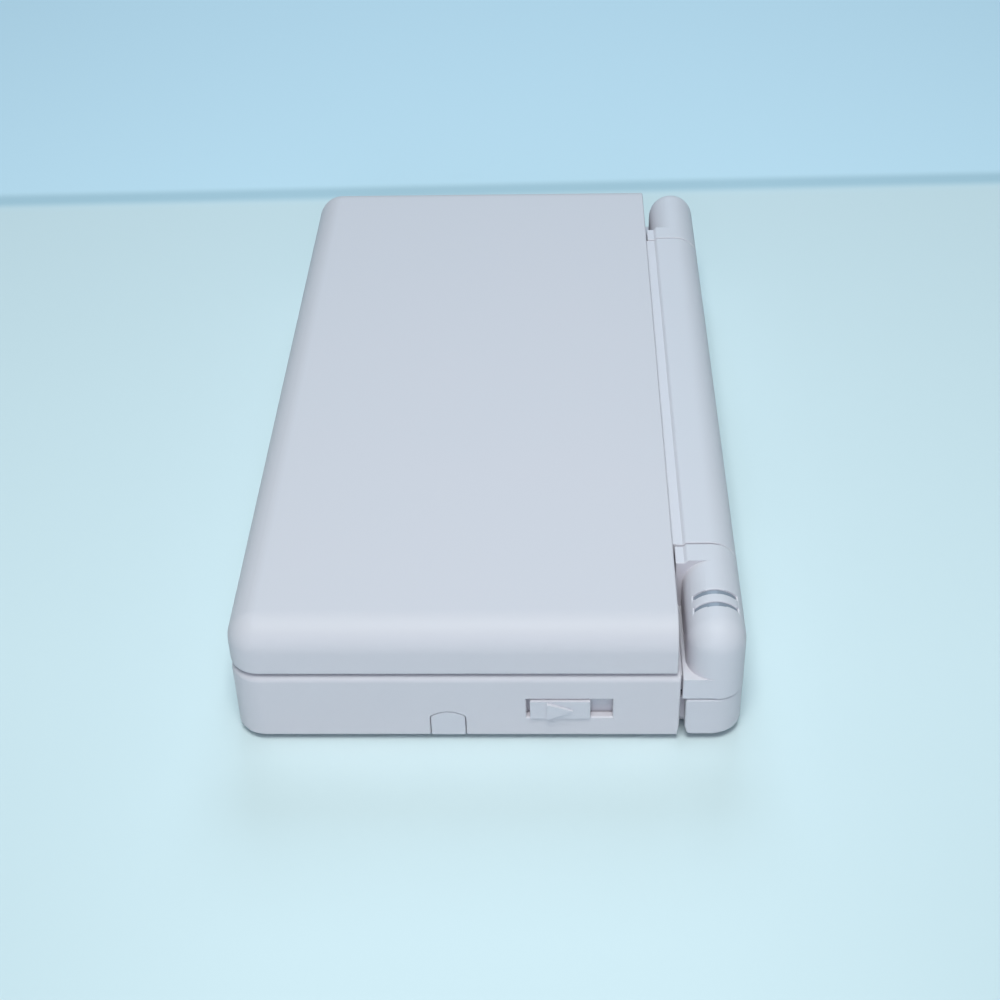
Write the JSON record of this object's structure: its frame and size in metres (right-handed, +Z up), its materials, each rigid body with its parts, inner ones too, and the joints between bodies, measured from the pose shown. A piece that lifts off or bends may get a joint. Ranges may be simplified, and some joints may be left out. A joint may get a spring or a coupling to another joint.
{
  "type": "clamshell handheld game console",
  "caption": "Pocket game console that folds shut: rolled-edge lid on a barrel hinge over a flat lower half with side slider, stylus, shoulder buttons, screens and controls inside.",
  "frame": {"origin": "on the table under the middle of the closed console", "axes": "+X to the side with the power slider, +Y to the hinge, +Z up through the lid"},
  "size_m": [0.1339, 0.0738, 0.0215],
  "materials": {
    "shell": "satin moulded plastic, pale pinkish white",
    "deck": "fine matt moulded plastic",
    "button": "satin moulded plastic",
    "window": "clear hard-coated window over a dark screen",
    "screen": "dark liquid crystal panel in a thin frame",
    "metal": "bright stamped and turned steel",
    "board": "green solder-masked board",
    "dark_plastic": "dark moulded plastic",
    "rubber": "soft grey rubber",
    "light_guide": "frosted grey light guide"
  },
  "bodies": {
    "base": {"lower_outer_case": "shell", "lower_inner_case": "deck", "touch_panel": "window", "lower_screen_panel": "screen", "main_board": "board", "battery": "dark_plastic", "battery_cover": "shell", "battery_cover_screw": "metal", "case_screws": "metal", "rubber_feet": "rubber", "card_slot": "metal", "cartridge_slot": "dark_plastic", "audio_socket": "dark_plastic", "charge_socket": "dark_plastic", "wireless_module": "metal", "power_switch": "metal", "volume_switch": "metal", "shoulder_switches": "dark_plastic", "shoulder_pins": "metal", "hinge_bush": "metal", "hinge_shaft": "metal", "indicator_guides": "light_guide", "pad_membrane": "rubber", "face_membrane": "rubber", "menu_membrane": "rubber"},
    "lid": {"lid_outer_cover": "shell", "lid_inner_bezel": "deck", "upper_screen_window": "window", "upper_screen_panel": "screen", "left_speaker": "dark_plastic", "right_speaker": "dark_plastic", "microphone": "metal", "wireless_antenna": "board", "lid_magnet": "metal", "lid_screws": "metal", "lid_bumpers": "rubber", "hinge_clutch": "metal"},
    "pad_rocker": {"pad_pivot": "rubber"},
    "pad": {"direction_pad": "button"},
    "back_button": {"face_button_back": "button"},
    "right_button": {"face_button_right": "button"},
    "front_button": {"face_button_front": "button"},
    "left_button": {"face_button_left": "button"},
    "start": {"start_button": "button"},
    "select": {"select_button": "button"},
    "left_shoulder": {"left_shoulder_button": "button"},
    "right_shoulder": {"right_shoulder_button": "button"},
    "power": {"power_slider": "button"},
    "volume": {"volume_slider": "button"},
    "pen": {"stylus": "button"},
    "slot_cover": {"cartridge_slot_cover": "shell"}
  },
  "joints": [
    {"name": "lid_hinge", "type": "hinge", "parent": "base", "child": "lid", "pos_m": [0, 0.03275, 0.0165], "axis": [-1, 0, 0], "range_deg": [0, 155]},
    {"name": "pad_tilt_front_back", "type": "hinge", "parent": "base", "child": "pad_rocker", "pos_m": [-0.0494, 0.0035, 0.0097], "axis": [1, 0, 0], "range_deg": [-2.5, 2.5], "stiffness_Nm_per_rad": 0.05},
    {"name": "pad_tilt_side", "type": "hinge", "parent": "pad_rocker", "child": "pad", "pos_m": [-0.0494, 0.0035, 0.0097], "axis": [0, 1, 0], "range_deg": [-2.5, 2.5], "stiffness_Nm_per_rad": 0.05},
    {"name": "back_button_press", "type": "slide", "parent": "base", "child": "back_button", "axis": [0, 0, -1], "range_m": [0, 0.0006], "stiffness_N_per_m": 400},
    {"name": "right_button_press", "type": "slide", "parent": "base", "child": "right_button", "axis": [0, 0, -1], "range_m": [0, 0.0006], "stiffness_N_per_m": 400},
    {"name": "front_button_press", "type": "slide", "parent": "base", "child": "front_button", "axis": [0, 0, -1], "range_m": [0, 0.0006], "stiffness_N_per_m": 400},
    {"name": "left_button_press", "type": "slide", "parent": "base", "child": "left_button", "axis": [0, 0, -1], "range_m": [0, 0.0006], "stiffness_N_per_m": 400},
    {"name": "start_press", "type": "slide", "parent": "base", "child": "start", "axis": [0, 0, -1], "range_m": [0, 0.0006], "stiffness_N_per_m": 400},
    {"name": "select_press", "type": "slide", "parent": "base", "child": "select", "axis": [0, 0, -1], "range_m": [0, 0.0006], "stiffness_N_per_m": 400},
    {"name": "left_shoulder_press", "type": "hinge", "parent": "base", "child": "left_shoulder", "pos_m": [-0.0489, 0.03325, 0.005], "axis": [0, 0, 1], "range_deg": [0, 1.9], "stiffness_Nm_per_rad": 0.1},
    {"name": "right_shoulder_press", "type": "hinge", "parent": "base", "child": "right_shoulder", "pos_m": [0.0489, 0.03325, 0.005], "axis": [0, 0, -1], "range_deg": [0, 1.9], "stiffness_Nm_per_rad": 0.1},
    {"name": "power_slide", "type": "slide", "parent": "base", "child": "power", "axis": [0, 1, 0], "range_m": [0, 0.0029], "stiffness_N_per_m": 300},
    {"name": "volume_slide", "type": "slide", "parent": "base", "child": "volume", "axis": [1, 0, 0], "range_m": [-0.003, 0.003]},
    {"name": "stylus_pull", "type": "slide", "parent": "base", "child": "pen", "axis": [1, 0, 0], "range_m": [0, 0.085]},
    {"name": "slot_cover_pull", "type": "slide", "parent": "base", "child": "slot_cover", "axis": [0, -1, 0], "range_m": [0, 0.019]}
  ]
}
